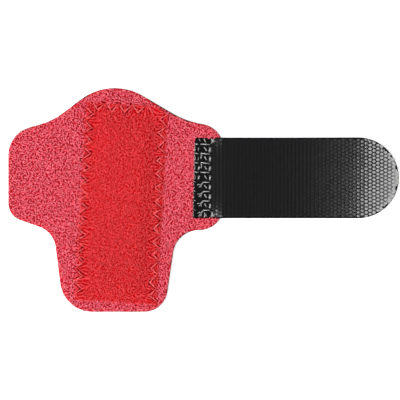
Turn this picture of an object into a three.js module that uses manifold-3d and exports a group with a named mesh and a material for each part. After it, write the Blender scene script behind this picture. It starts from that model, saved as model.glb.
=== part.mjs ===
// Finger splint laid open on a table, the side that touches the finger facing up.
//
// The body wrap is cut from a foam laminate: a dome at one end, a wing on each side and a foot at the other
// end. A loop-faced band is sewn down its middle and crowns over the flat stay below it. A hook tape is sewn
// across the right wing and reaches out beyond it, its round end curling up a little.
//
// Millimetres. The wrap lies on Z = 0, +X points along the hook tape and +Y from the foot to the dome. The
// outline is drawn from the middle of the foot's edge, and the finished group is moved so that its origin is
// the bottom centre of its bounding box.

import * as THREE from "three";
import { mergeVertices } from "three/addons/utils/BufferGeometryUtils.js";
import Module from "manifold-3d";

// Body wrap
const wrapThickness = 2.5;
const wrapEdgeRounding = 0.7;
const bodyLength = 69.5;
const footWidth = 31.3;
const waistWidth = 38.1;
const shoulderWidth = 40.8;
const leftReach = 32.9;
const rightReach = 33.9;
const leftWingHeight = 25.5;
const rightWingHeight = 31.7;
const domeRadius = 17.4;
const shoulderRadius = 24.2;
const wingRadius = 7.6;
const armpitRadius = 7.9;
const footRadius = 8.6;

// Centre panel
const panelWidth = 25.4;
const panelLength = 61.4;
const panelEdgeThickness = 0.9;
const panelCrown = 1.5;
const panelSeamBand = 2.2;
const panelShoulder = 5.5;
const panelFootMargin = 3.0;
const panelSideShift = 0.5;
const panelTilt = THREE.MathUtils.degToRad(-3.5);
const panelTrimMargin = 0.9;

// Hook strap
const strapWidth = 25.0;
const strapLength = 63.5;
const strapThickness = 1.2;
const strapOverlap = 9.6;
const strapShift = 0.35;
const strapCornerRadius = 0.7;
const strapDip = 0.6;
const strapCurl = 4.2;

// Gap that the seams leave between two sewn pieces
const seamGap = 0.2;

// How finely round stretches and curved faces are divided
const arcDivisions = 5;
const roundEndDivisions = 16;
const edgeDivisions = 3;
const panelDivisionsAcross = 16;
const panelDivisionsAlong = 24;
const strapDivisions = 36;

// The middles of the two wings, measured from the foot's edge
const leftWingMiddle = bodyLength * 0.612;
const rightWingMiddle = bodyLength * 0.593;

const colours = {
  wrap: 0xd94a58,
  panel: 0xd72d35,
  strap: 0x1c1c1e,
};

const wasm = await Module();
wasm.setup();

// The corners of the wrap before they are rounded, clockwise from the dome. Each place is a share of the
// size that it follows.
function wrapCorners() {
  const corners = {
    dome: { across: leftReach * -0.038, along: bodyLength * 1.051, radius: domeRadius },
    rightShoulder: {
      across: shoulderWidth * 0.538,
      along: bodyLength * 0.854,
      radius: shoulderRadius * 1.09,
    },
    rightWingTop: {
      across: rightReach,
      along: rightWingMiddle + rightWingHeight / 2,
      radius: wingRadius,
    },
    rightWingBottom: {
      across: rightReach,
      along: rightWingMiddle - rightWingHeight / 2,
      radius: wingRadius * 0.98,
    },
    rightArmpit: {
      across: waistWidth * 0.507,
      along: bodyLength * 0.365,
      radius: armpitRadius * 1.03,
    },
    footRight: { across: footWidth * 0.498, along: 0, radius: footRadius * 0.84 },
    footLeft: { across: footWidth * -0.502, along: 0, radius: footRadius * 1.17 },
    leftArmpit: {
      across: waistWidth * -0.493,
      along: bodyLength * 0.357,
      radius: armpitRadius * 0.97,
    },
    leftWingBottom: {
      across: -leftReach,
      along: leftWingMiddle - leftWingHeight / 2,
      radius: wingRadius * 0.72,
    },
    leftWingTop: {
      across: -leftReach,
      along: leftWingMiddle + leftWingHeight / 2,
      radius: wingRadius * 1.16,
    },
    leftShoulder: {
      across: shoulderWidth * -0.462,
      along: bodyLength * 0.856,
      radius: shoulderRadius * 0.91,
    },
  };
  return Object.values(corners);
}

// A closed outline through the corners, each rounded by its radius. Where two rounds would meet on a side,
// both shrink until they fit it.
function roundedOutline(corners) {
  const at = (i) => corners[(i + corners.length) % corners.length];
  const point = (i) => new THREE.Vector2(at(i).across, at(i).along);
  const turns = corners.map((corner, i) => {
    const before = point(i).sub(point(i - 1));
    const after = point(i + 1).sub(point(i));
    const inward = before.clone().normalize();
    const outward = after.clone().normalize();
    const angle = Math.atan2(inward.cross(outward), inward.dot(outward));
    const reach = corner.radius * Math.tan(Math.abs(angle) / 2);
    return { corner: point(i), inward, outward, angle, reach, sideAfter: after.length() };
  });
  const shape = new THREE.Shape();
  turns.forEach((turn, i) => {
    const last = turns[(i + turns.length - 1) % turns.length];
    const next = turns[(i + 1) % turns.length];
    const fit = Math.min(
      1,
      last.sideAfter / (last.reach + turn.reach),
      turn.sideAfter / (turn.reach + next.reach),
    );
    const reach = turn.reach * fit;
    const radius = corners[i].radius * fit;
    const side = Math.sign(turn.angle);
    const start = turn.corner.clone().addScaledVector(turn.inward, -reach);
    const end = turn.corner.clone().addScaledVector(turn.outward, reach);
    const toCentre = new THREE.Vector2(-turn.inward.y, turn.inward.x).multiplyScalar(side * radius);
    const centre = start.clone().add(toCentre);
    const from = start.clone().sub(centre).angle();
    const to = end.clone().sub(centre).angle();
    if (i === 0) shape.moveTo(start.x, start.y);
    else shape.lineTo(start.x, start.y);
    shape.absarc(centre.x, centre.y, radius, from, to, side < 0);
  });
  shape.closePath();
  return shape;
}

// A flat plate over an outline, with its outline moved in by an inset.
function plate(shape, bottom, top, inset = 0) {
  const geometry = new THREE.ExtrudeGeometry(shape, {
    depth: top - bottom,
    curveSegments: arcDivisions,
    bevelEnabled: true,
    bevelSegments: 0,
    bevelThickness: 0,
    bevelSize: 0,
    bevelOffset: -inset,
  });
  return geometry.translate(0, 0, bottom);
}

function solidOf(geometry) {
  const bare = geometry.clone();
  bare.deleteAttribute("normal");
  bare.deleteAttribute("uv");
  const merged = mergeVertices(bare);
  return new wasm.Manifold(
    new wasm.Mesh({
      numProp: 3,
      vertProperties: merged.attributes.position.array,
      triVerts: new Uint32Array(merged.index.array),
    }),
  );
}

function geometryOf(solid) {
  const mesh = solid.getMesh();
  const geometry = new THREE.BufferGeometry();
  geometry.setAttribute("position", new THREE.BufferAttribute(mesh.vertProperties, mesh.numProp));
  geometry.setIndex(new THREE.BufferAttribute(mesh.triVerts, 1));
  geometry.computeVertexNormals();
  return geometry;
}

// Raises each point of a geometry by a height worked out from its place.
function raise(geometry, height) {
  const position = geometry.attributes.position;
  for (let i = 0; i < position.count; i += 1) {
    const lift = height(position.getX(i), position.getY(i), position.getZ(i));
    position.setZ(i, position.getZ(i) + lift);
  }
  return geometry;
}

const ease = (share) => THREE.MathUtils.smoothstep(share, 0, 1);

function fabric(colour, roughness) {
  return new THREE.MeshStandardMaterial({ color: colour, roughness, metalness: 0 });
}

// The die-cut laminate: a flat sheet whose cut edge is rounded over on both faces.
function wrap() {
  const rounding = Math.min(wrapEdgeRounding, wrapThickness * 0.4);
  const geometry = new THREE.ExtrudeGeometry(roundedOutline(wrapCorners()), {
    depth: wrapThickness - 2 * rounding,
    curveSegments: arcDivisions,
    bevelEnabled: true,
    bevelSegments: edgeDivisions,
    bevelThickness: rounding,
    bevelSize: rounding,
    bevelOffset: -rounding,
  });
  geometry.translate(0, 0, rounding);
  const mesh = new THREE.Mesh(geometry, fabric(colours.wrap, 0.95));
  mesh.name = "wrap";
  return mesh;
}

// The band down the middle: thin along its sewn edges, crowned between them, and trimmed where a corner
// would come too near the edge of the wrap.
function centrePanel() {
  const geometry = new THREE.BoxGeometry(
    panelWidth,
    panelLength,
    panelEdgeThickness,
    panelDivisionsAcross,
    panelDivisionsAlong,
    1,
  );
  raise(geometry, (x, y, z) => {
    if (z < 0) return 0;
    const fromSide = panelWidth / 2 - Math.abs(x) - panelSeamBand;
    const fromEnd = panelLength / 2 - Math.abs(y) - panelSeamBand;
    return panelCrown * ease(fromSide / panelShoulder) * ease(fromEnd / panelShoulder);
  });
  geometry.translate(0, panelLength / 2, panelEdgeThickness / 2);
  geometry.rotateZ(panelTilt);
  geometry.translate(panelSideShift, panelFootMargin, 0);
  const trim = plate(
    roundedOutline(wrapCorners()),
    -panelEdgeThickness,
    2 * (panelEdgeThickness + panelCrown),
    panelTrimMargin,
  );
  const trimmed = solidOf(geometry).intersect(solidOf(trim));
  const mesh = new THREE.Mesh(geometryOf(trimmed), fabric(colours.panel, 0.9));
  mesh.position.z = wrapThickness + seamGap;
  mesh.name = "centre_panel";
  return mesh;
}

// The plan of the tape: square at its sewn end, a half circle at its free end.
function strapPlan() {
  const half = strapWidth / 2;
  const shape = new THREE.Shape();
  shape.moveTo(strapCornerRadius, -half);
  shape.lineTo(strapLength - half, -half);
  shape.absarc(strapLength - half, 0, half, -Math.PI / 2, Math.PI / 2, false);
  shape.lineTo(strapCornerRadius, half);
  shape.lineTo(0, half - strapCornerRadius);
  shape.lineTo(0, strapCornerRadius - half);
  shape.closePath();
  return shape;
}

// The tape lies flat where it is sewn, dips a little once past the wing and curls up ever more towards its
// end. The dip is deepest at two fifths of the free length.
function strapHeight(x) {
  const run = Math.max(0, x - strapOverlap) / (strapLength - strapOverlap);
  const deepest = 0.4 ** 2 * 0.6 ** 3;
  const dip = (run ** 2 * (1 - run) ** 3) / deepest;
  return strapCurl * run ** 2.5 - strapDip * dip;
}

function hookStrap() {
  const ribbon = new THREE.BoxGeometry(strapLength, strapWidth, strapThickness, strapDivisions, 1, 1);
  ribbon.translate(strapLength / 2, 0, strapThickness / 2);
  raise(ribbon, strapHeight);
  const cutter = new THREE.ExtrudeGeometry(strapPlan(), {
    depth: 2 * (strapCurl + strapDip + strapThickness),
    curveSegments: roundEndDivisions,
    bevelEnabled: false,
  });
  cutter.translate(0, 0, -strapDip - strapThickness);
  const mesh = new THREE.Mesh(
    geometryOf(solidOf(ribbon).intersect(solidOf(cutter))),
    fabric(colours.strap, 0.45),
  );
  mesh.position.set(rightReach - strapOverlap, rightWingMiddle + strapShift, wrapThickness + seamGap);
  mesh.name = "hook_strap";
  return mesh;
}

function splint() {
  const group = new THREE.Group();
  group.add(wrap(), centrePanel(), hookStrap());
  const middle = new THREE.Box3().setFromObject(group).getCenter(new THREE.Vector3());
  group.position.set(-middle.x, -middle.y, 0);
  return group;
}

export default splint();
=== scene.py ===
"""Finger splint, laid open: the looks of its fabrics, hook tape and stitching around its solids."""

import math

import bmesh
import bpy
import numpy as np
from bpy.props import FloatProperty, FloatVectorProperty, PointerProperty
from mathutils import Matrix, Vector, noise
from mathutils.bvhtree import BVHTree


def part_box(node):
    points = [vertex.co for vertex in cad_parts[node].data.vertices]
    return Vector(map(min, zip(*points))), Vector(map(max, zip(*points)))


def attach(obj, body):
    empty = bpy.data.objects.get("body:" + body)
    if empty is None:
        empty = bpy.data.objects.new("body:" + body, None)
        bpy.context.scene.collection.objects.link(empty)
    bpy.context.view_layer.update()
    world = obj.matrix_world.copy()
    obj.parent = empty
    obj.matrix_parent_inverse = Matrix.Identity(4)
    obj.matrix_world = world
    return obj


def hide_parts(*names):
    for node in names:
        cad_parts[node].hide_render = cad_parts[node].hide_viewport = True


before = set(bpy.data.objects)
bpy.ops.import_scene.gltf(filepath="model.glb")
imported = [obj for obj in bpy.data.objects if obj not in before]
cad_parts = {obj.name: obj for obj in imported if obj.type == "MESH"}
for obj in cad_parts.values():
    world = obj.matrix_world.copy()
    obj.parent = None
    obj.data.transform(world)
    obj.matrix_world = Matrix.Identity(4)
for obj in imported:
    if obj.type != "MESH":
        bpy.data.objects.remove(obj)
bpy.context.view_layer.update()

bl_info = {
    "name": "Finger splint",
    "version": (1, 0, 0),
    "blender": (4, 5, 0),
    "location": "3D View > Sidebar > Splint",
    "description": "Looped fabric, velour, hook tape and stitching for a finger splint",
    "category": "Object",
}

MM = 0.001

# Where the solids lie.
WRAP_LOW, WRAP_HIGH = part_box("wrap")
STRAP_LOW, STRAP_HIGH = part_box("hook_strap")
WRAP_TOP = WRAP_HIGH.z

# The centre panel: the middle of its lower end, its lean, its size, and the band and shoulder that lead from
# its sewn edge up to its crown.
PANEL_FOOT = Vector((WRAP_HIGH.x - 33.4 * MM, WRAP_LOW.y + 3.0 * MM, 0))
PANEL_TILT = math.radians(-3.5)
PANEL_HALF = 12.7 * MM
PANEL_LENGTH = 61.4 * MM
PANEL_SHOULDER = 5.5 * MM
PANEL_BAND = 2.2 * MM
PANEL_PLACE = Matrix.Translation(PANEL_FOOT) @ Matrix.Rotation(PANEL_TILT, 4, "Z")
PANEL_LOCAL = PANEL_PLACE.inverted()

# The zigzag rows of the panel, outer and inner needle line: the side rows from its middle line, the top row
# from its lower end.
LEFT_ROW = (-13.45 * MM, -10.65 * MM)
RIGHT_ROW = (12.65 * MM, 10.15 * MM)
TOP_ROW = (61.55 * MM, 59.1 * MM)

# Where each row starts and ends along its seam, and how many millimetres a needle hole strays.
LEFT_RUN = (1.55 * MM, 60.5 * MM)
RIGHT_RUN = (0.85 * MM, 60.5 * MM)
TOP_RUN = (-11.2 * MM, 8.2 * MM)
HOLE_STRAY = 0.32

# The panel's top: its height along the edge and over the crown, and how deep its gathers, needle holes,
# stitches and unevenness go.
PANEL_EDGE = 0.75 * MM
PANEL_CROWN = 1.7 * MM
GATHER_DEPTH = 0.11 * MM
HOLE_DEPTH = 0.45 * MM
STITCH_DEPTH = 0.22 * MM
UNEVENNESS = 0.05 * MM

# How wide the painted shade along a stitch's crease reaches, from which depth of the crease the ground is
# painted dark as shade, and how wide a stitch keeps the curls away.
CREASE_SHADE_REACH = 0.5 * MM
CREASE_SHADE_FROM = 0.3
STITCH_REACH = 0.4 * MM

# The hook tape: where it lies, how its height runs, and how thick its band is without the hooks.
STRAP_START = STRAP_LOW.x
STRAP_LENGTH = STRAP_HIGH.x - STRAP_LOW.x
STRAP_MIDDLE = (STRAP_LOW.y + STRAP_HIGH.y) / 2
STRAP_HALF = (STRAP_HIGH.y - STRAP_LOW.y) / 2
STRAP_OVERLAP = WRAP_HIGH.x - STRAP_START
STRAP_DIP = 0.6 * MM
STRAP_CURL = 4.2 * MM
STRAP_THICKNESS = 0.8 * MM

# Its sewn part: how far the seam reaches, how much the cut end slants, how deep and how far the seam presses
# the tape, most at its corners. The selvage is the bare edge beside the hooks.
SEAM_END = 5.7 * MM
SEWN_SLANT = 0.8 * MM
SEAM_PRESS = 0.08 * MM
CORNER_PRESS = 0.26 * MM
PRESS_RUN = 4.2 * MM
SELVAGE = 0.5 * MM

# The hooks lean back, ever more so along the last stretch of the tape, and keep off its rim.
HOOK_LEAN = math.radians(1.0)
LEAN_START = 46.5 * MM
LEAN_RUN = 11.0 * MM
HOOK_MARGIN = 0.2 * MM

# Places where the red face is cut back and the foam shows: x, y and reach.
BARE_EDGES = (
    (-8.0 * MM, -8.8 * MM, 3.8 * MM),
    (-10.2 * MM, 28.0 * MM, 7.6 * MM),
    (-37.5 * MM, 31.0 * MM, 3.5 * MM),
)

# How high the foam shows in the cut edge, all round and where the red face is cut back.
FOAM_TOP = 2.1 * MM
CUT_BACK_TOP = 2.35 * MM

# The height from which a ray looks for the cloth, and how much that cloth has to face up.
RAY_START = 50 * MM
LEAST_UPWARD = 0.35

# Height of an even triangle over its side.
ROW_SHARE = 0.866


class SplintSizes(bpy.types.PropertyGroup):
    """Sizes of the pile, the hooks and the threads."""

    pile_radius: FloatProperty(
        name="Wrap yarn", description="Radius of the yarn of the wrap's pile",
        default=0.2 * MM, min=0, unit="LENGTH", subtype="DISTANCE", precision=6,
    )
    pile_spacing: FloatProperty(
        name="Wrap pile spacing", description="Distance between neighbouring curls of the wrap",
        default=0.595 * MM, min=0.1 * MM, unit="LENGTH", subtype="DISTANCE", precision=6,
    )
    velour_radius: FloatProperty(
        name="Panel yarn", description="Radius of the yarn of the panel's velour",
        default=0.17 * MM, min=0, unit="LENGTH", subtype="DISTANCE", precision=6,
    )
    velour_spacing: FloatProperty(
        name="Panel pile spacing", description="Distance between neighbouring curls of the panel",
        default=0.54 * MM, min=0.1 * MM, unit="LENGTH", subtype="DISTANCE", precision=6,
    )
    stitch_pitch: FloatProperty(
        name="Zigzag pitch", description="Length of one zigzag along the panel's seams",
        default=4.18 * MM, min=1 * MM, unit="LENGTH", subtype="DISTANCE", precision=5,
    )
    thread_radius: FloatProperty(
        name="Thread", description="Radius of the sewing thread",
        default=0.22 * MM, min=0.05 * MM, unit="LENGTH", subtype="DISTANCE", precision=6,
    )
    bar_pitch: FloatProperty(
        name="Bar pitch", description="Distance between the bars of the strap's seam",
        default=2.9 * MM, min=1 * MM, unit="LENGTH", subtype="DISTANCE", precision=5,
    )
    hook_column: FloatProperty(
        name="Hook columns", description="Distance between the hook columns along the tape",
        default=1.18 * MM, min=0.5 * MM, unit="LENGTH", subtype="DISTANCE", precision=5,
    )
    hook_row: FloatProperty(
        name="Hook rows", description="Distance between the hooks of one column",
        default=1.12 * MM, min=0.5 * MM, unit="LENGTH", subtype="DISTANCE", precision=5,
    )
    hook_height: FloatProperty(
        name="Hook height", description="How far the hooks stand above the tape",
        default=0.32 * MM, min=0.1 * MM, unit="LENGTH", subtype="DISTANCE", precision=5,
    )


def colour(name, description, default):
    """A colour that a user can change."""
    return FloatVectorProperty(
        name=name, description=description, default=default, size=3, min=0, max=1, subtype="COLOR",
    )


class SplintColours(bpy.types.PropertyGroup):
    """Colours of the fabrics, the tape and the threads."""

    wrap: colour("Wrap pile", "Yarn of the wrap's brushed face", (0.665, 0.0055, 0.0185))
    # Painted highlight: a lighter, pinker colour on the tops of the wrap's curls.
    wrap_tip_highlight: colour("Wrap curl highlight", "Painted highlight on the tops of the wrap's curls", (0.745, 0.085, 0.137))
    # Painted shade: the ground is darker than its yarn, as shade in the gaps between the curls.
    wrap_base_shaded: colour("Wrap ground with painted shade", "Knitted ground under the wrap's pile, painted darker as shade", (0.5, 0.004, 0.013))
    panel: colour("Panel pile", "Yarn of the centre panel", (0.62, 0.002, 0.005))
    # Painted highlight: a lighter, pinker colour on the tops of the panel's curls.
    panel_tip_highlight: colour("Panel curl highlight", "Painted highlight on the tops of the panel's curls", (0.76, 0.037, 0.05))
    # Painted shade: the ground is darker than its yarn, as shade in the gaps between the curls.
    panel_base_shaded: colour("Panel ground with painted shade", "Woven ground under the panel's pile, painted darker as shade", (0.46, 0.0015, 0.004))
    # Painted shade: the dark ground in the creases under the stitches of both fabrics.
    crease_shade: colour("Painted crease shade", "Painted shade in the creases of both fabrics under the stitches", (0.16, 0.002, 0.006))
    thread: colour("Panel thread", "Thread of the zigzag seams", (0.84, 0.02, 0.028))
    foam: colour("Foam", "Foam core in the cut edge", (0.02, 0.018, 0.02))
    backing: colour("Outer face", "Looped fabric of the outer face", (0.012, 0.012, 0.014))
    tape: colour("Tape", "Ground of the hook tape", (0.004, 0.004, 0.0042))
    hooks: colour("Hooks", "Hooks of the tape", (0.0045, 0.0045, 0.0047))
    # Painted sheen: the thread is black, its colour lightened to mid grey to stand in for its sheen.
    strap_thread_sheen: colour("Strap thread with painted sheen", "Black thread of the strap's seam, lightened to grey as painted sheen", (0.12, 0.12, 0.124))


def sizes():
    """The sizes that the sidebar shows."""
    return bpy.context.scene.splint_sizes


def colours():
    """The colours that the sidebar shows."""
    return bpy.context.scene.splint_colours


# Materials


def node_group(name, inputs, outputs, build):
    """A shader node group with named sockets, made once and found again by its name."""
    group = bpy.data.node_groups.get(name)
    if group:
        return group
    group = bpy.data.node_groups.new(name, "ShaderNodeTree")
    for label, kind, default in inputs:
        socket = group.interface.new_socket(label, in_out="INPUT", socket_type=kind)
        socket.default_value = default
    for label, kind in outputs:
        group.interface.new_socket(label, in_out="OUTPUT", socket_type=kind)
    build(group.nodes, group.links, group.nodes.new("NodeGroupInput"), group.nodes.new("NodeGroupOutput"))
    return group


def yarn_shade():
    """Shade that changes from curl to curl and drifts slowly over the cloth."""

    def build(nodes, links, given, result):
        place = nodes.new("ShaderNodeTexCoord")
        fine = nodes.new("ShaderNodeTexNoise")
        fine.inputs["Detail"].default_value = 2
        broad = nodes.new("ShaderNodeTexNoise")
        broad.inputs["Scale"].default_value = 90
        broad.inputs["Detail"].default_value = 3
        blend = nodes.new("ShaderNodeMath")
        blend.operation = "MULTIPLY_ADD"
        blend.inputs[1].default_value = 0.35
        spread = nodes.new("ShaderNodeMapRange")
        spread.inputs["From Min"].default_value = 0.45
        spread.inputs["From Max"].default_value = 0.9
        mix = nodes.new("ShaderNodeMix")
        mix.data_type = "RGBA"
        links.new(place.outputs["Object"], fine.inputs["Vector"])
        links.new(given.outputs["Scale"], fine.inputs["Scale"])
        links.new(place.outputs["Object"], broad.inputs["Vector"])
        links.new(broad.outputs["Fac"], blend.inputs[0])
        links.new(fine.outputs["Fac"], blend.inputs[2])
        links.new(blend.outputs[0], spread.inputs["Value"])
        links.new(spread.outputs["Result"], mix.inputs["Factor"])
        links.new(given.outputs["Dark"], mix.inputs["A"])
        links.new(given.outputs["Light"], mix.inputs["B"])
        links.new(mix.outputs["Result"], result.inputs["Colour"])
        links.new(spread.outputs["Result"], result.inputs["Mask"])

    grey = (0.5, 0.5, 0.5, 1)
    inputs = (
        ("Dark", "NodeSocketColor", grey),
        ("Light", "NodeSocketColor", grey),
        ("Scale", "NodeSocketFloat", 900),
    )
    outputs = (("Colour", "NodeSocketColor"), ("Mask", "NodeSocketFloat"))
    return node_group("Yarn shade", inputs, outputs, build)


def cloth_grain():
    """Height of a fine knitted or cellular ground, with a mask for its roughness."""

    def build(nodes, links, given, result):
        place = nodes.new("ShaderNodeTexCoord")
        cells = nodes.new("ShaderNodeTexVoronoi")
        cells.feature = "SMOOTH_F1"
        fuzz = nodes.new("ShaderNodeTexNoise")
        fuzz.inputs["Detail"].default_value = 4
        twice = nodes.new("ShaderNodeMath")
        twice.operation = "MULTIPLY"
        twice.inputs[1].default_value = 2.3
        blend = nodes.new("ShaderNodeMath")
        blend.operation = "MULTIPLY_ADD"
        blend.inputs[1].default_value = 0.6
        spread = nodes.new("ShaderNodeMapRange")
        spread.inputs["To Min"].default_value = 0.7
        spread.inputs["To Max"].default_value = 1.0
        links.new(place.outputs["Object"], cells.inputs["Vector"])
        links.new(place.outputs["Object"], fuzz.inputs["Vector"])
        links.new(given.outputs["Scale"], cells.inputs["Scale"])
        links.new(given.outputs["Scale"], twice.inputs[0])
        links.new(twice.outputs[0], fuzz.inputs["Scale"])
        links.new(cells.outputs["Distance"], blend.inputs[0])
        links.new(fuzz.outputs["Fac"], blend.inputs[2])
        links.new(blend.outputs[0], result.inputs["Height"])
        links.new(fuzz.outputs["Fac"], spread.inputs["Value"])
        links.new(spread.outputs["Result"], result.inputs["Roughness"])

    inputs = (("Scale", "NodeSocketFloat", 1500),)
    outputs = (("Height", "NodeSocketFloat"), ("Roughness", "NodeSocketFloat"))
    return node_group("Cloth grain", inputs, outputs, build)


def scaled(base, factor):
    """A colour made lighter or darker, kept in range, with its alpha."""
    return (*(min(1.0, part * factor) for part in base), 1.0)


def cloth(
    name, base, shade=(0.75, 1.2), shade_scale=900, grain_scale=1500, relief=0.1 * MM,
    specular=0.4, rough=None, index=1.5, tip_highlight=None, coat=None,
):
    """A fabric, thread or moulded nylon: shade, grain and roughness all change over the surface.

    A painted highlight colour is mixed in towards the top of each curl, and a coat gives its weight and
    roughness.
    """
    material = bpy.data.materials.new(name)
    material.use_nodes = True
    nodes, links = material.node_tree.nodes, material.node_tree.links
    surface = nodes["Principled BSDF"]
    tone = nodes.new("ShaderNodeGroup")
    tone.node_tree = yarn_shade()
    tone.inputs["Dark"].default_value = scaled(base, shade[0])
    tone.inputs["Light"].default_value = scaled(base, shade[1])
    tone.inputs["Scale"].default_value = shade_scale
    grain = nodes.new("ShaderNodeGroup")
    grain.node_tree = cloth_grain()
    grain.inputs["Scale"].default_value = grain_scale
    bump = nodes.new("ShaderNodeBump")
    bump.inputs["Strength"].default_value = 1
    bump.inputs["Distance"].default_value = relief
    # Painted highlight: the lighter colour is mixed in towards the top of each curl.
    if tip_highlight:
        raised = nodes.new("ShaderNodeAttribute")
        raised.attribute_name = "tip_highlight"
        top = nodes.new("ShaderNodeMapRange")
        top.inputs["From Min"].default_value = 0.45
        top.inputs["From Max"].default_value = 1.0
        mix = nodes.new("ShaderNodeMix")
        mix.data_type = "RGBA"
        mix.inputs["B"].default_value = (*tip_highlight, 1)
        links.new(raised.outputs["Fac"], top.inputs["Value"])
        links.new(top.outputs["Result"], mix.inputs["Factor"])
        links.new(tone.outputs["Colour"], mix.inputs["A"])
        links.new(mix.outputs["Result"], surface.inputs["Base Color"])
    else:
        links.new(tone.outputs["Colour"], surface.inputs["Base Color"])
    links.new(grain.outputs["Height"], bump.inputs["Height"])
    links.new(bump.outputs["Normal"], surface.inputs["Normal"])
    if rough is None:
        links.new(grain.outputs["Roughness"], surface.inputs["Roughness"])
    else:
        smooth = nodes.new("ShaderNodeMapRange")
        smooth.inputs["To Min"].default_value = rough[0]
        smooth.inputs["To Max"].default_value = rough[1]
        links.new(tone.outputs["Mask"], smooth.inputs["Value"])
        links.new(smooth.outputs["Result"], surface.inputs["Roughness"])
    surface.inputs["Specular IOR Level"].default_value = specular
    surface.inputs["IOR"].default_value = index
    if coat:
        surface.inputs["Coat Weight"].default_value = coat[0]
        surface.inputs["Coat Roughness"].default_value = coat[1]
    return material


# Meshes


def add_object(name, mesh, materials, node=None, flat=False):
    """A piece of the splint, riding on the only body, smooth unless its facets are to show."""
    for material in materials:
        mesh.materials.append(material)
    if flat:
        mesh.shade_flat()
    else:
        mesh.shade_smooth()
    piece = bpy.data.objects.new(name, mesh)
    bpy.context.scene.collection.objects.link(piece)
    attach(piece, "root")
    if node:
        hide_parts(node)
    return piece


def merged_copy(node):
    """A bmesh of a solid with its loose triangles joined and its flat faces whole."""
    bm = bmesh.new()
    bm.from_mesh(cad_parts[node].data)
    bmesh.ops.remove_doubles(bm, verts=bm.verts, dist=1e-6)
    bmesh.ops.dissolve_limit(
        bm, angle_limit=math.radians(0.5), verts=bm.verts, edges=bm.edges, use_dissolve_boundaries=False,
    )
    return bm


def cut_across(bm, axis, position, clear_inner=False):
    """Cuts a mesh along the plane that stands across an axis, and can drop what lies below it."""
    place, normal = Vector((0, 0, 0)), Vector((0, 0, 0))
    place[axis], normal[axis] = position, 1
    bmesh.ops.bisect_plane(
        bm, geom=bm.verts[:] + bm.edges[:] + bm.faces[:], dist=1e-6, plane_co=place, plane_no=normal,
        clear_inner=clear_inner,
    )


def slice_along(bm, axis, start, stop, step):
    """Cuts a mesh across an axis at even steps, so that it can be shaped between them."""
    for i in range(1, int((stop - start) / step) + 1):
        cut_across(bm, axis, start + i * step)


def parts_of(kind, geometry):
    """The vertices or the faces among the parts that a mesh operator made."""
    return [part for part in geometry if isinstance(part, kind)]


def tubes(paths, radius, resolution=0):
    """A mesh of round threads along the given paths, closed at their ends."""
    curve = bpy.data.curves.new("thread path", "CURVE")
    curve.dimensions = "3D"
    curve.bevel_depth = radius
    curve.bevel_resolution = resolution
    curve.use_fill_caps = True
    for path in paths:
        spline = curve.splines.new("POLY")
        spline.points.add(len(path) - 1)
        for point, place in zip(spline.points, path):
            point.co = (*place, 1)
    holder = bpy.data.objects.new("thread path", curve)
    mesh = bpy.data.meshes.new_from_object(holder)
    bpy.data.objects.remove(holder)
    bpy.data.curves.remove(curve)
    return mesh


def plied(path, radius, turns):
    """Two strands that twist round each other along a path."""
    points = [Vector(p) for p in path]
    strands = ([], [])
    for i, point in enumerate(points):
        ahead = points[min(i + 1, len(points) - 1)] - points[max(i - 1, 0)]
        side = ahead.cross(Vector((0, 0, 1)))
        side = side.normalized() if side.length > 1e-9 else Vector((1, 0, 0))
        up = side.cross(ahead).normalized()
        angle = 2 * math.pi * turns * i / (len(points) - 1)
        offset = (side * math.cos(angle) + up * math.sin(angle)) * radius * 0.5
        strands[0].append(point + offset)
        strands[1].append(point - offset)
    return strands


def thread_mesh(paths, radius, pitch=1.0 * MM):
    """Two-ply thread along each path."""
    strands = []
    for path in paths:
        length = sum((Vector(b) - Vector(a)).length for a, b in zip(path, path[1:]))
        strands.extend(plied(path, radius, length / pitch))
    return tubes(strands, radius * 0.62, 1)


def stitch_path(start, end, rise, sink, steps=12, flatness=0.45):
    """One stitch between two needle holes: out of the first, over the cloth and into the second.

    A flatness under 1 keeps the thread high for most of its way.
    """
    path = []
    for i in range(steps + 1):
        share = i / steps
        arch = max(0.0, math.sin(math.pi * share)) ** flatness
        point = Vector(start).lerp(Vector(end), share)
        point.z += rise * arch - sink * (1 - arch)
        path.append(point)
    return path


def joined_copies(name, shapes, choice, frames):
    """One mesh with a copy of a shape at each frame, a frame being three axes and a place.

    Its attribute "tip" runs from 0 at the foot of each copy to 1 at its top; the cloth paints a highlight by
    it.
    """
    vertices, faces, highlight_ramps, count = [], [], [], 0
    for index, shape in enumerate(shapes):
        points = np.zeros(len(shape.vertices) * 3)
        shape.vertices.foreach_get("co", points)
        points = points.reshape(-1, 3)
        corners = np.array([tuple(face.vertices) for face in shape.polygons])
        own = frames[choice == index]
        highlight_ramps.append(np.tile(np.clip(points[:, 2] / points[:, 2].max(), 0, 1), len(own)))
        placed = np.einsum("nc,kcx->knx", points, own[:, :3]) + own[:, None, 3]
        vertices.append(placed.reshape(-1, 3))
        starts = count + np.arange(len(own)) * len(points)
        faces.append((corners[None] + starts[:, None, None]).reshape(-1, corners.shape[1]))
        count += len(own) * len(points)
    mesh = bpy.data.meshes.new(name)
    mesh.from_pydata(np.concatenate(vertices), [], np.concatenate(faces))
    mesh.attributes.new("tip_highlight", "FLOAT", "POINT").data.foreach_set("value", np.concatenate(highlight_ramps))
    mesh.update()
    return mesh


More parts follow.
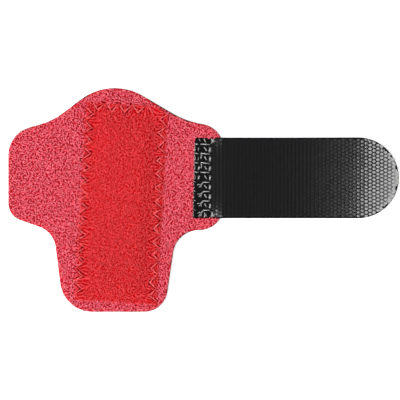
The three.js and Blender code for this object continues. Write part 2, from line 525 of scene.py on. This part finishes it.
def curl(length, turn, height, radius, stations=6):
    """One curl of yarn: up out of the ground, over and back in, bending sideways on its way."""
    heading, place, path = -turn / 2, Vector((0, 0, 0)), []
    for i in range(stations):
        share = i / (stations - 1)
        lift = math.sin(math.pi * share) ** 0.7 if 0 < share < 1 else 0
        path.append(Vector((place.x, place.y, lift * height - (1 - lift) * radius)))
        step = length / (stations - 1)
        place += Vector((math.cos(heading), math.sin(heading), 0)) * step
        heading += turn / (stations - 1)
    middle = sum(path, Vector()) / len(path)
    mesh = tubes([[point - Vector((middle.x, middle.y, 0)) for point in path]], radius)
    bm = bmesh.new()
    bm.from_mesh(mesh)
    bmesh.ops.remove_doubles(bm, verts=bm.verts, dist=1e-7)
    bmesh.ops.join_triangles(bm, faces=bm.faces, angle_face_threshold=math.pi, angle_shape_threshold=math.pi)
    bm.to_mesh(mesh)
    bm.free()
    return mesh


def seated(tree, x, y):
    """The surface's point and normal straight below a place, or None where it is missing or too steep."""
    place, normal, _, _ = tree.ray_cast(Vector((x, y, RAY_START)), Vector((0, 0, -1)))
    return (place, normal) if place is not None and normal.z > LEAST_UPWARD else None


def scattered(rng, low, high, spacing, jitter=0.4):
    """Places on an uneven triangular grid over a rectangle."""
    rows = int((high[1] - low[1]) / (spacing * ROW_SHARE)) + 1
    columns = int((high[0] - low[0]) / spacing) + 1
    for row in range(rows):
        for column in range(columns):
            x = low[0] + (column + 0.5 * (row % 2)) * spacing
            y = low[1] + row * spacing * ROW_SHARE
            dx, dy = rng.uniform(-jitter, jitter, 2) * spacing
            yield x + dx, y + dy


def frame_on(normal, place, heading, scale):
    """Axes that stand on a surface, the first one turned to a heading."""
    along = Vector((math.cos(heading), math.sin(heading), 0))
    side = normal.cross(along).normalized()
    along = side.cross(normal)
    return [list(along * scale), list(side * scale), list(normal * scale), list(place)]


def grow_pile(name, halves, shapes, rng, yarn):
    """The pile's left and right half, each a piece, every curl picked at random from the shapes."""
    piles = []
    for side, frames in zip(("left", "right"), halves):
        label = f"{name}_{side}"
        choice = rng.integers(0, len(shapes), len(frames))
        pile = joined_copies(label, shapes, choice, np.array(frames))
        piles.append(add_object(label, pile, (yarn,)))
    return piles


def tree_of(piece):
    """What lies under a ray, for a finished piece."""
    bm = bmesh.new()
    bm.from_mesh(piece.data)
    tree = BVHTree.FromBMesh(bm)
    bm.free()
    return tree


# Shapes of the cloth


def ease(share):
    """A smooth rise from 0 to 1, level at both ends."""
    share = min(1.0, max(0.0, share))
    return share * share * (3 - 2 * share)


def zigzag_holes(row, run, pitch, seed):
    """Needle holes of a zigzag along a seam, outer and inner by turns, as places on the panel."""
    rng = np.random.default_rng(seed)
    outer, inner = row
    first, last = run
    holes = []
    for i in range(int((last - first) / (pitch / 2)) + 1):
        dx, dy = rng.uniform(-HOLE_STRAY, HOLE_STRAY, 2) * MM
        holes.append(((inner if i % 2 else outer) + dx, first + i * pitch / 2 + dy))
    return holes


def panel_holes():
    """The needle holes of the two side seams and of the seam along the top, on the panel."""
    pitch = sizes().stitch_pitch
    left = zigzag_holes(LEFT_ROW, LEFT_RUN, pitch, 3)
    right = zigzag_holes(RIGHT_ROW, RIGHT_RUN, pitch, 5)
    top = [(v, u) for u, v in zigzag_holes(TOP_ROW, TOP_RUN, pitch, 7)]
    return left, right, top


def panel_stitches():
    """The stitches of the three seams, each from hole to hole, on the panel."""
    return [pair for row in panel_holes() for pair in zip(row, row[1:])]


def ripple(along, seed):
    """Uneven gathers along a seam, from -1 to 1."""
    wobble = 0.5 * math.sin(along / MM * 0.61 + seed)
    return 0.6 * math.sin(along / MM * 4.55 + wobble + seed) + 0.4 * math.sin(along / MM * 7.1 + seed * 2)


def gathered(u, v, holes, fold=math.radians(18)):
    """A place on the panel, drawn onto the nearest fold that fans out from a needle hole.

    Gives the new place and the fold's direction.
    """
    hole = min(holes, key=lambda spot: (u - spot[0]) ** 2 + (v - spot[1]) ** 2)
    reach, angle = math.hypot(u - hole[0], v - hole[1]), math.atan2(v - hole[1], u - hole[0])
    phase = angle / fold + 0.4 * noise.noise(Vector((hole[0], hole[1], reach)) / (2 * MM))
    angle -= 0.65 * (phase - round(phase)) * fold
    return hole[0] + reach * math.cos(angle), hole[1] + reach * math.sin(angle), angle


def pinch(x, y, holes, reach):
    """How deep the cloth is drawn in by the needle holes near a place, from 0 to 1."""
    deepest = 0.0
    for hole in holes:
        gap = ((x - hole[0]) ** 2 + (y - hole[1]) ** 2) / reach**2
        if gap < 6:
            deepest = max(deepest, math.exp(-gap))
    return deepest


def crease(x, y, stitches, reach):
    """How deep the cloth sinks under the stitches near a place, from 0 to 1; also the mask of the painted
    crease shade.
    """
    deepest = 0.0
    for (ax, ay), (bx, by) in stitches:
        dx, dy = bx - ax, by - ay
        share = ((x - ax) * dx + (y - ay) * dy) / (dx * dx + dy * dy)
        if -0.3 < share < 1.3:
            share = min(1.0, max(0.0, share))
            gap = ((x - ax - share * dx) ** 2 + (y - ay - share * dy) ** 2) / reach**2
            if gap < 6:
                deepest = max(deepest, math.exp(-gap))
    return deepest


def panel_height(u, v, holes, stitches=()):
    """Height of the panel's top above the wrap at a place on the panel."""
    side = PANEL_HALF - abs(u)
    end = PANEL_LENGTH / 2 - abs(v - PANEL_LENGTH / 2)
    crown = ease((side - PANEL_BAND) / PANEL_SHOULDER) * ease((end - PANEL_BAND) / PANEL_SHOULDER)
    edge = PANEL_EDGE * min(1.0, 0.45 + max(0.0, min(side, end)) / (1.4 * MM))
    height = edge + PANEL_CROWN * crown
    along_side = math.exp(-(((side - 1.6 * MM) / (1.7 * MM)) ** 2))
    height += GATHER_DEPTH * along_side * ripple(v, 0.4 if u < 0 else 2.1)
    along_top = math.exp(-(((end - 1.6 * MM) / (1.5 * MM)) ** 2)) if v > PANEL_LENGTH / 2 else 0
    height += GATHER_DEPTH * along_top * ripple(u, 1.3)
    height -= HOLE_DEPTH * pinch(u, v, holes, 0.55 * MM)
    height -= STITCH_DEPTH * crease(u, v, stitches, STITCH_REACH)
    return height + UNEVENNESS * noise.noise(Vector((u, v, 0)) / (2.2 * MM))


def strap_height(x):
    """How far the tape has risen, this far from its sewn end: a dip past the wing, then a curl."""
    run = max(0.0, x - STRAP_OVERLAP) / (STRAP_LENGTH - STRAP_OVERLAP)
    dip = run**2 * (1 - run) ** 3 / (0.4**2 * 0.6**3)
    return STRAP_CURL * run**2.5 - STRAP_DIP * dip


def sewn_end(y):
    """Where the tape's sewn end lies, which is cut at a slight slant."""
    return STRAP_START + SEWN_SLANT * (0.5 + (y - STRAP_MIDDLE) / (2 * STRAP_HALF))


def cut_back(x, y):
    """Whether the red face is cut back at a place."""
    return any(math.dist((x, y), edge[:2]) < edge[2] for edge in BARE_EDGES)


class SPLINT_OT_wrap(bpy.types.Operator):
    """Makes the wrap: its laminate with a cut edge, and the brushed pile of its red face"""

    bl_idname = "splint.wrap"
    bl_label = "Wrap"

    def execute(self, context):
        skin, cell = 0.1 * MM, 1.0 * MM
        hole_reach, hole_depth, dimple, waviness = 0.8 * MM, 0.35 * MM, 0.3 * MM, 0.08 * MM
        bm = merged_copy("wrap")
        slice_along(bm, 0, WRAP_LOW.x, WRAP_HIGH.x, cell)
        slice_along(bm, 1, WRAP_LOW.y, WRAP_HIGH.y, cell)
        holes = [(PANEL_PLACE @ Vector((*hole, 0))).to_2d() for row in panel_holes() for hole in row]
        stitches = panel_stitches()
        for vertex in bm.verts:
            x, y, z = vertex.co
            draw = pinch(x, y, holes, hole_reach)
            if z > WRAP_TOP - skin:
                wave = noise.noise(Vector((x, y, 0)) / (7 * MM))
                vertex.co.z -= hole_depth * draw - waviness * wave
            elif z < skin:
                vertex.co.z += dimple * draw
        # The fourth slot is painted shade, the dark ground in the creases under the stitches.
        red, foam, outer, crease_shade = range(4)
        for face in bm.faces:
            middle = face.calc_center_median()
            if face.normal.z < -0.5:
                face.material_index = outer
            elif middle.z < FOAM_TOP:
                face.material_index = foam
            elif face.normal.z < 0.95:
                bare = cut_back(middle.x, middle.y) and middle.z < CUT_BACK_TOP
                worn = noise.noise(middle / (1.1 * MM)) > -0.1
                face.material_index = foam if bare and worn else red
            else:
                u, v, _ = PANEL_LOCAL @ middle
                # Top faces in a stitch's crease get the painted crease shade.
                crease_shaded = crease(u, v, stitches, CREASE_SHADE_REACH) > CREASE_SHADE_FROM
                face.material_index = crease_shade if crease_shaded else red
        mesh = bpy.data.meshes.new("wrap_laminate")
        bm.to_mesh(mesh)
        bm.free()
        shades = colours()
        materials = (
            # The ground, darker than the yarn as painted shade between the curls.
            cloth("Brushed red ground with painted shade", shades.wrap_base_shaded, specular=0.2),
            cloth("Cut foam", shades.foam, grain_scale=2600, relief=0.15 * MM),
            cloth("Outer looped face", shades.backing, grain_scale=1300, relief=0.25 * MM),
            # Painted shade in the creases under the stitches.
            cloth("Painted crease shade on red ground", shades.crease_shade, specular=0.1),
        )
        laminate = add_object("wrap_laminate", mesh, materials, "wrap")
        # The wrap's yarn gets a painted highlight on the tops of its curls.
        yarn = cloth(
            "Brushed red yarn", shades.wrap, shade=(0.8, 1.2), shade_scale=1100, relief=0.02 * MM,
            specular=0.9, rough=(0.22, 0.32), tip_highlight=shades.wrap_tip_highlight,
        )
        rng = np.random.default_rng(11)
        radius = sizes().pile_radius
        shapes = [
            curl(length * MM, turn, 0.5 * MM, radius)
            for length, turn in ((1.1, -2.6), (1.3, -1.4), (1.2, -0.5), (1.0, 0.8), (1.3, 1.9), (1.1, 3.0))
        ]
        tree = tree_of(laminate)
        panel = merged_copy("centre_panel")
        panel_tree = BVHTree.FromBMesh(panel)
        panel.free()
        halves = ([], [])
        for x, y in scattered(rng, WRAP_LOW[:2], WRAP_HIGH[:2], sizes().pile_spacing):
            heading, scale = rng.uniform(0, 2 * math.pi), rng.uniform(0.8, 1.15)
            spot = seated(tree, x, y)
            u, v, _ = PANEL_LOCAL @ Vector((x, y, 0))
            margin = (0.6 if cut_back(x, y) else 0.4) * MM
            around = ((margin, 0), (-margin, 0), (0, margin), (0, -margin))
            inside = spot and all(seated(tree, x + dx, y + dy) for dx, dy in around)
            under_panel = all(seated(panel_tree, x + dx, y + dy) for dx, dy in around)
            within_tape = abs(y - STRAP_MIDDLE) < STRAP_HALF - 0.1 * MM
            under_strap = within_tape and x > sewn_end(y) + 0.2 * MM
            sewn = crease(u, v, stitches, STITCH_REACH) > 0.45
            if inside and not under_panel and not under_strap and not sewn:
                halves[int(x > PANEL_FOOT.x)].append(frame_on(spot[1], spot[0], heading, scale))
        piles = grow_pile("wrap_pile", halves, shapes, rng, yarn)
        return {"FINISHED"}


class SPLINT_OT_panel(bpy.types.Operator):
    """Makes the centre panel: a crowned loop band with gathered seams, and its velour"""

    bl_idname = "splint.panel"
    bl_label = "Centre panel"

    def execute(self, context):
        bm = merged_copy("centre_panel")
        cell = 0.5 * MM
        bmesh.ops.transform(bm, matrix=PANEL_LOCAL, verts=bm.verts)
        slice_along(bm, 0, -PANEL_HALF, PANEL_HALF, cell)
        slice_along(bm, 1, 0, PANEL_LENGTH, cell)
        holes = [hole for row in panel_holes() for hole in row]
        stitches = panel_stitches()
        halfway = WRAP_TOP + 0.6 * MM
        for vertex in bm.verts:
            u, v, z = vertex.co
            if z > halfway:
                vertex.co.z = WRAP_TOP + panel_height(u, v, holes, stitches)
            else:
                vertex.co.z = WRAP_TOP - 0.1 * MM
        for face in bm.faces:
            u, v, _ = face.calc_center_median()
            # Faces in a stitch's crease get the painted crease shade, in the second slot.
            face.material_index = int(crease(u, v, stitches, CREASE_SHADE_REACH) > CREASE_SHADE_FROM)
        bmesh.ops.transform(bm, matrix=PANEL_PLACE, verts=bm.verts)
        mesh = bpy.data.meshes.new("panel_band")
        bm.to_mesh(mesh)
        bm.free()
        shades = colours()
        grounds = (
            # The ground, darker than the yarn as painted shade between the curls.
            cloth("Velour ground with painted shade", shades.panel_base_shaded, specular=0.1),
            # Painted shade in the creases under the stitches.
            cloth("Painted crease shade on velour", shades.crease_shade, specular=0.1),
        )
        band = add_object("panel_band", mesh, grounds, "centre_panel")
        # The velour gets a painted highlight on the tops of its curls.
        yarn = cloth(
            "Red velour", shades.panel, shade=(0.85, 1.15), shade_scale=1000, relief=0.02 * MM,
            specular=0.5, rough=(0.25, 0.38), tip_highlight=shades.panel_tip_highlight,
        )
        rng = np.random.default_rng(23)
        radius = sizes().velour_radius
        shapes = [
            curl(length * MM, turn, 0.3 * MM, radius, 4)
            for length, turn in ((0.8, -1.6), (1.0, -0.6), (0.9, 0.3), (0.8, 1.2), (0.7, 2.2))
        ]
        tree = tree_of(band)
        outer = [hole for row in panel_holes() for hole in row[::2]]
        halves = ([], [])
        low, high = (-PANEL_HALF, 0), (PANEL_HALF, PANEL_LENGTH)
        for u, v in scattered(rng, low, high, sizes().velour_spacing):
            turn, scale = rng.uniform(-1, 1), rng.uniform(0.75, 1.2)
            inset = min(PANEL_HALF - abs(u), PANEL_LENGTH - v)
            heading = turn * math.pi
            if inset < rng.uniform(2.0, 4.2) * MM:
                u, v, way = gathered(u, v, outer)
                heading = way + 0.35 * turn
            x, y, _ = PANEL_PLACE @ Vector((u, v, 0))
            spot = seated(tree, x, y)
            if spot and crease(u, v, stitches, STITCH_REACH) < 0.5:
                halves[int(u > 0)].append(frame_on(spot[1], spot[0], PANEL_TILT + heading, scale))
        piles = grow_pile("panel_velour", halves, shapes, rng, yarn)
        return {"FINISHED"}


class SPLINT_OT_panel_seams(bpy.types.Operator):
    """Sews the panel to the wrap: zigzags up both sides and along the top, on both faces"""

    bl_idname = "splint.panel_seams"
    bl_label = "Panel seams"

    def execute(self, context):
        rng = np.random.default_rng(43)
        highest_rises, spread, sink = (0.38, 0.5, 0.22), 0.26, 0.3 * MM
        # The stitches below lie in the outer face and bend up into their needle holes.
        lower_level, lower_sink = 0.22 * MM, -0.35 * MM
        upper, lower = [], []
        for highest, row in zip(highest_rises, panel_holes()):
            for start, end in zip(row, row[1:]):
                path = []
                rise = rng.uniform(highest - spread, highest) * MM
                for u, v, lift in stitch_path((*start, 0), (*end, 0), rise, sink, flatness=0.7):
                    on_panel = abs(u) < PANEL_HALF and 0 < v < PANEL_LENGTH
                    level = panel_height(u, v, ()) if on_panel else 0.0
                    path.append(PANEL_PLACE @ Vector((u, v, WRAP_TOP + level + lift)))
                upper.append(path)
                below = [PANEL_PLACE @ Vector((*hole, lower_level)) for hole in (start, end)]
                lower.append(stitch_path(*below, 0.0, lower_sink))
        shades = colours()
        thread = cloth(
            "Red sewing thread", shades.thread, shade=(0.85, 1.15), shade_scale=2500, grain_scale=6000,
            relief=0.02 * MM, specular=1.0, rough=(0.25, 0.4), index=1.7,
        )
        radius = sizes().thread_radius
        add_object("panel_seams", thread_mesh(upper, radius), (thread,))
        add_object("panel_seams_below", thread_mesh(lower, radius), (thread,))
        return {"FINISHED"}


def hook_shape(height):
    """One hook of the tape, seen as the flat oval that its head makes, with a bevelled rim."""
    bm = bmesh.new()
    bmesh.ops.create_circle(bm, cap_ends=True, segments=10, radius=0.5)
    bmesh.ops.scale(bm, verts=bm.verts, vec=(1.12 * MM, 0.84 * MM, 1))
    raised = bmesh.ops.extrude_face_region(bm, geom=bm.faces[:])["geom"]
    head = parts_of(bmesh.types.BMFace, raised)
    rim = parts_of(bmesh.types.BMVert, raised)
    bmesh.ops.translate(bm, verts=rim, vec=(0, 0, height - 0.05 * MM))
    bmesh.ops.inset_region(bm, faces=head, thickness=0.05 * MM, depth=0.03 * MM)
    top = bmesh.ops.poke(bm, faces=head)["verts"]
    bmesh.ops.translate(bm, verts=top, vec=(0, 0, 0.002 * MM))
    bmesh.ops.recalc_face_normals(bm, faces=bm.faces)
    bmesh.ops.triangulate(bm, faces=bm.faces)
    mesh = bpy.data.meshes.new("hook")
    bm.to_mesh(mesh)
    bm.free()
    return mesh


class SPLINT_OT_strap(bpy.types.Operator):
    """Makes the hook tape: a curled band with a round end, and its field of hooks"""

    bl_idname = "splint.strap"
    bl_label = "Hook tape"

    def execute(self, context):
        cell_along, cell_across, rounding = 0.8 * MM, 1.25 * MM, 0.12 * MM
        bm = bmesh.new()
        bmesh.ops.create_circle(bm, cap_ends=True, segments=96, radius=STRAP_HALF)
        cut_across(bm, 0, 0, clear_inner=True)
        cut = [edge for edge in bm.edges if all(abs(v.co.x) < 1e-6 for v in edge.verts)]
        run = bmesh.ops.extrude_edge_only(bm, edges=cut)["geom"]
        straight = STRAP_LENGTH - STRAP_HALF
        bmesh.ops.translate(bm, verts=parts_of(bmesh.types.BMVert, run), vec=(-straight, 0, 0))
        bmesh.ops.translate(bm, verts=bm.verts, vec=(straight, 0, 0))
        bmesh.ops.recalc_face_normals(bm, faces=bm.faces)
        slice_along(bm, 0, 0, STRAP_LENGTH, cell_along)
        slice_along(bm, 1, -STRAP_HALF, STRAP_HALF, cell_across)
        for side in (-1, 1):
            cut_across(bm, 1, side * (STRAP_HALF - SELVAGE))
        shell = bmesh.ops.extrude_face_region(bm, geom=bm.faces[:])["geom"]
        lifted = parts_of(bmesh.types.BMVert, shell)
        bmesh.ops.translate(bm, verts=lifted, vec=(0, 0, STRAP_THICKNESS))
        bmesh.ops.recalc_face_normals(bm, faces=bm.faces)
        underside = WRAP_TOP + 0.05 * MM
        for vertex in bm.verts:
            x, y, z = vertex.co
            tack = math.exp(-(((STRAP_HALF - abs(y)) / PRESS_RUN) ** 2))
            drawn = 1 - ease((x - SEAM_END) / PRESS_RUN)
            press = SEAM_PRESS * drawn + CORNER_PRESS * drawn * tack if z > 0 else 0
            end = sewn_end(y + STRAP_MIDDLE)
            across = x + end + (STRAP_START - end) * min(1.0, x / SEAM_END)
            vertex.co = Vector((across, y + STRAP_MIDDLE, z + strap_height(x) + underside - press))
        rim = [
            edge for edge in bm.edges
            if edge.is_manifold and abs(edge.calc_face_angle(0)) > math.radians(60)
        ]
        bmesh.ops.bevel(
            bm, geom=rim, offset=rounding, offset_type="OFFSET", affect="EDGES", segments=2,
            profile=0.5, material=-1,
        )
        for face in bm.faces:
            x, y, _ = face.calc_center_median()
            sewn_down = x < STRAP_START + SEAM_END
            selvage = abs(y - STRAP_MIDDLE) > STRAP_HALF - SELVAGE
            face.material_index = 1 if sewn_down or selvage or face.normal.z < 0.95 else 0
        mesh = bpy.data.meshes.new("hook_tape")
        bm.to_mesh(mesh)
        bm.free()
        shades = colours()
        nylon = cloth(
            "Black tape", shades.tape, shade_scale=1500, grain_scale=2400, relief=0.002 * MM,
            specular=0.6, rough=(0.08, 0.11),
        )
        sewn = cloth(
            "Sewn tape", shades.tape, shade_scale=1500, grain_scale=2400, relief=0.08 * MM,
            specular=0.05, rough=(0.6, 0.8),
        )
        tape = add_object("hook_tape", mesh, (nylon, sewn), "hook_strap")
        nub = hook_shape(sizes().hook_height)
        tree = tree_of(tape)
        rng = np.random.default_rng(37)
        column_pitch, row_pitch = sizes().hook_column, sizes().hook_row
        rows = int(STRAP_HALF / row_pitch) + 1
        frames = []
        for column in range(int(STRAP_LENGTH / column_pitch) + 1):
            x = STRAP_START + (column + 0.45) * column_pitch
            crushed = x < STRAP_START + SEAM_END + 0.3 * MM
            for row in range(-rows, rows + 1):
                y = STRAP_MIDDLE + (row + 0.5 * (column % 2)) * row_pitch
                scale = rng.uniform(0.92, 1.06)
                spot = seated(tree, x, y)
                within_width = abs(y - STRAP_MIDDLE) < STRAP_HALF - HOOK_MARGIN
                inside = spot and seated(tree, x + HOOK_MARGIN, y) and within_width
                if inside and not crushed:
                    bent = 0.4 + ease((x - STRAP_START - LEAN_START) / LEAN_RUN)
                    lean = HOOK_LEAN * bent * rng.uniform(0.8, 1.2)
                    leaning = Matrix.Rotation(-lean, 3, "Y") @ spot[1]
                    frames.append(frame_on(leaning, spot[0], 0, scale))
        nubs = joined_copies("hooks", [nub], np.zeros(len(frames), int), np.array(frames))
        gloss = cloth(
            "Black hooks", shades.hooks, shade_scale=2500, grain_scale=4000, relief=0.0005 * MM,
            specular=0.45, rough=(0.06, 0.09), coat=(0.3, 0.22),
        )
        hooks = add_object("hooks", nubs, (gloss,), flat=True)
        return {"FINISHED"}


class SPLINT_OT_strap_seam(bpy.types.Operator):
    """Sews the hook tape to the wing: bars, running stitches and the loops between them"""

    bl_idname = "splint.strap_seam"
    bl_label = "Strap seam"

    def execute(self, context):
        rng = np.random.default_rng(51)
        level = WRAP_TOP + 0.95 * MM
        pitch = sizes().bar_pitch
        bold_radius, fine_radius = 0.24 * MM, 0.16 * MM
        bold, fine = [], []

        def sew(points, rise=0.2 * MM, thick=True):
            """Threads through places given in millimetres from the tape's sewn end and its middle line."""
            for start, end in zip(points, points[1:]):
                ends = []
                for x, y in (start, end):
                    dx, dy = rng.uniform(-0.07, 0.07, 2)
                    ends.append(Vector((STRAP_START + (x + dx) * MM, STRAP_MIDDLE + (y + dy) * MM, level)))
                (bold if thick else fine).append(stitch_path(*ends, rise, 0.35 * MM, 8))

        for i in range(8):
            y = ((3.5 - i) * pitch) / MM + 0.14
            if i < 4:
                # The upper half: split bars, with short runs down from each.
                sew([(0.5, y + 0.25), (1.7, y + 0.2)])
                sew([(2.45, y + 0.2), (5.2, y)])
                sew([(0.7, y - 0.7), (0.75, y - 2.0)], thick=False)
                sew([(1.9, y - 0.9), (1.8, y - 1.95)], 0.3 * MM, i > 1)
                if i > 1:
                    sew([(2.15, y - 0.9), (1.95, y - 1.9)], 0.3 * MM)
            else:
                # The lower half: short bars that hook round, with a fine loop to the next.
                sew([(3.2, y), (5.25, y)])
                sew([(3.3, y), (2.6, y - 0.8)])
                sew([(2.6, y - 0.7), (2.65, y - 1.8)], thick=False)
                sew([(0.3, y + 0.3), (0.9, y)], thick=False)
                sew([(1.5, y - 0.9), (2.1, y - 0.6), (2.5, y - 1.1), (1.9, y - 1.6)], thick=False)
            if i in (1, 2):
                sew([(2.75, y - 0.1), (2.7, y - 1.5)])
            sew([(3.6, y - 0.8), (4.4, y - 1.9)], 0.25 * MM)
            # Ragged ends along the slanting cut.
            edge = 0.55 - 0.07 * i
            sew([(edge, y - 0.3), (edge + 0.3, y - 0.8)], thick=False)
            sew([(edge + 0.3, y - 1.4), (edge, y - 2.0)], thick=False)
            if i < 7:
                # The running line that closes the seam, two threads wide.
                sew([(5.25, y - 0.85), (5.25, y - 2.3)], 0.35 * MM)
                sew([(5.5, y - 0.9), (5.5, y - 2.2)], 0.35 * MM)
        # The tacks that fasten both corners.
        for side in (1, -1):
            y = side * (STRAP_HALF / MM - 0.4)
            sew([(5.7, y), (6.4, y - side * 1.3)], 0.3 * MM)
            sew([(6.6, y - side * 0.1), (5.8, y - side * 1.5)], 0.3 * MM)
            sew([(5.9, y - side * 0.2), (6.9, y - side * 0.9)], 0.3 * MM)
            sew([(3.5, y), (4.1, y - side * 1.0)], 0.25 * MM)
            sew([(1.9, y - 0.1 * side), (2.5, y - side * 0.6)], 0.2 * MM, False)
        shades = colours()
        # The black thread's colour is lightened to grey as painted sheen.
        thread = cloth(
            "Black sewing thread", shades.strap_thread_sheen, shade_scale=2500, grain_scale=6000,
            relief=0.01 * MM, specular=1.0, rough=(0.2, 0.3), index=2.2,
        )
        add_object("strap_seam", thread_mesh(bold, bold_radius), (thread,))
        add_object("strap_seam_fine", thread_mesh(fine, fine_radius), (thread,))
        return {"FINISHED"}


class SPLINT_OT_stage(bpy.types.Operator):
    """Sets the pale floor, the soft lights and the camera that looks straight down"""

    bl_idname = "splint.stage"
    bl_label = "Stage"

    def execute(self, context):
        bm = bmesh.new()
        bmesh.ops.create_circle(bm, cap_ends=True, segments=64, radius=3)
        mesh = bpy.data.meshes.new("floor")
        bm.to_mesh(mesh)
        bm.free()
        paper = bpy.data.materials.new("Pale floor")
        paper.use_nodes = True
        surface = paper.node_tree.nodes["Principled BSDF"]
        surface.inputs["Base Color"].default_value = (0.94, 0.94, 0.94, 1)
        surface.inputs["Roughness"].default_value = 0.9
        surface.inputs["Specular IOR Level"].default_value = 0.1
        surface.inputs["Emission Color"].default_value = (1, 1, 1, 1)
        surface.inputs["Emission Strength"].default_value = 0.6
        mesh.materials.append(paper)
        floor = bpy.data.objects.new("floor", mesh)
        context.scene.collection.objects.link(floor)

        def softbox(name, azimuth, lean, distance, width, height, radiance):
            """A panel of light that faces the splint from a direction, given in degrees."""
            lamp = bpy.data.lights.new(name, "AREA")
            lamp.shape = "RECTANGLE"
            lamp.size, lamp.size_y = width, height
            lamp.energy = radiance * math.pi * width * height
            holder = bpy.data.objects.new(name, lamp)
            turned = Matrix.Rotation(math.radians(azimuth), 4, "Z")
            leant = turned @ Matrix.Rotation(math.radians(lean), 4, "Y")
            holder.matrix_world = leant @ Matrix.Translation((0, 0, distance))
            context.scene.collection.objects.link(holder)

        softbox("Main light", 195, 29.5, 1.0, 0.61, 0.6, 10.8)
        softbox("Far fill", 20, 52, 1.2, 0.9, 1.4, 1.0)
        softbox("Upper fill", 95, 50, 1.2, 0.7, 1.2, 1.0)
        softbox("Lower fill", 275, 50, 1.2, 0.7, 1.2, 1.0)

        world = bpy.data.worlds.new("Studio")
        world.use_nodes = True
        nodes, links = world.node_tree.nodes, world.node_tree.links
        seen = nodes.new("ShaderNodeLightPath")
        level = nodes.new("ShaderNodeMapRange")
        level.inputs["To Min"].default_value = 0.12
        level.inputs["To Max"].default_value = 1.0
        links.new(seen.outputs["Is Camera Ray"], level.inputs["Value"])
        links.new(level.outputs["Result"], nodes["Background"].inputs["Strength"])
        nodes["Background"].inputs["Color"].default_value = (1, 1, 1, 1)
        context.scene.world = world

        camera = bpy.data.cameras.new("Camera")
        camera.lens = 200
        camera.sensor_width = 36
        holder = bpy.data.objects.new("Camera", camera)
        holder.location = (-0.85 * MM, 0, 0.6914)
        context.scene.collection.objects.link(holder)
        context.scene.camera = holder
        context.scene.view_settings.view_transform = "Standard"
        return {"FINISHED"}


class SPLINT_PT_panel(bpy.types.Panel):
    """Buttons for the splint's pieces, with their sizes and colours"""

    bl_idname = "SPLINT_PT_panel"
    bl_label = "Finger splint"
    bl_space_type = "VIEW_3D"
    bl_region_type = "UI"
    bl_category = "Splint"

    def draw(self, context):
        for operator in OPERATORS:
            self.layout.operator(operator.bl_idname)
        for group in (context.scene.splint_sizes, context.scene.splint_colours):
            box = self.layout.box()
            for name in group.__annotations__:
                box.prop(group, name)


OPERATORS = (
    SPLINT_OT_wrap,
    SPLINT_OT_panel,
    SPLINT_OT_panel_seams,
    SPLINT_OT_strap,
    SPLINT_OT_strap_seam,
    SPLINT_OT_stage,
)
CLASSES = (SplintSizes, SplintColours, *OPERATORS, SPLINT_PT_panel)


def register():
    """Adds the operators, the panel and the settings."""
    for cls in CLASSES:
        bpy.utils.register_class(cls)
    bpy.types.Scene.splint_sizes = PointerProperty(type=SplintSizes)
    bpy.types.Scene.splint_colours = PointerProperty(type=SplintColours)


def unregister():
    """Takes them away again."""
    del bpy.types.Scene.splint_colours
    del bpy.types.Scene.splint_sizes
    for cls in reversed(CLASSES):
        bpy.utils.unregister_class(cls)


def main():
    """Makes every piece in order."""
    register()
    bpy.ops.splint.wrap()
    bpy.ops.splint.panel()
    bpy.ops.splint.panel_seams()
    bpy.ops.splint.strap()
    bpy.ops.splint.strap_seam()
    bpy.ops.splint.stage()


if __name__ == "__main__":
    main()
